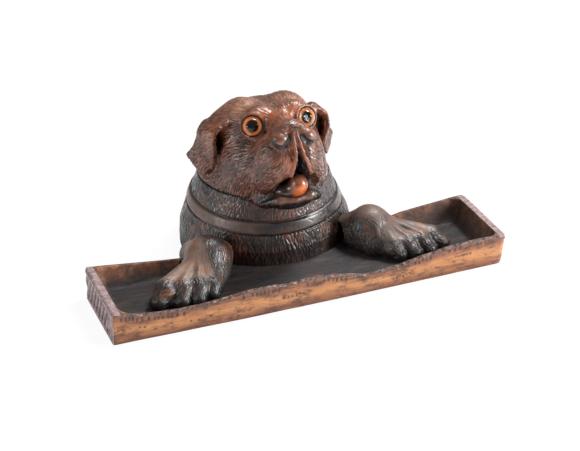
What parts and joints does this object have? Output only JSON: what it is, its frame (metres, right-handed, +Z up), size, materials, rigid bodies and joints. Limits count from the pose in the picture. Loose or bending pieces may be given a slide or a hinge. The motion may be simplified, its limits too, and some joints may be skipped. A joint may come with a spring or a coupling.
{
  "type": "desk inkstand",
  "caption": "Carved wooden inkstand: a long pen tray with a hound's bust behind it, whose hinged head is the lid of a lift-out glass ink pot.",
  "frame": {"origin": "middle of the flat underside of the pen tray", "axes": "+X along the tray to the viewer's right, +Y to the back where the bust stands, +Z up"},
  "size_m": [0.33, 0.1857, 0.133],
  "materials": {
    "tray_wood": "waxed, golden brown outside and nearly black inside, hand carved",
    "carved_wood": "dark stained and waxed carving, rubbed to orange brown on the high parts",
    "dark_wood": "nearly black polished carving",
    "eye_glass": "clear domed glass",
    "eye_paint": "amber painted iris with a black pupil",
    "pot_glass": "clear pressed glass",
    "brass": "aged brass",
    "steel": "old bright steel",
    "dowel_wood": "raw beech"
  },
  "bodies": {
    "stand": {"pen_tray": "tray_wood", "bust": "carved_wood", "left_paw": "dark_wood", "right_paw": "dark_wood", "hinge_leaf_lower": "brass", "hinge_pin": "brass", "hinge_screws_lower": "brass", "bust_screws": "steel", "left_paw_dowels": "dowel_wood", "right_paw_dowels": "dowel_wood"},
    "head": {"head_lid": "carved_wood", "left_eye_glass": "eye_glass", "right_eye_glass": "eye_glass", "left_eye_iris": "eye_paint", "right_eye_iris": "eye_paint", "hinge_leaf_upper": "brass", "hinge_screws_upper": "brass"},
    "ink_pot": {"ink_pot": "pot_glass"}
  },
  "joints": [
    {"name": "head_hinge", "type": "hinge", "parent": "stand", "child": "head", "pos_m": [0, 0.1381, 0.0625], "axis": [-1, 0, 0], "range_deg": [0, 100]},
    {"name": "pot_lift", "type": "slide", "parent": "stand", "child": "ink_pot", "axis": [0, 0, 1], "range_m": [0, 0.02]}
  ]
}
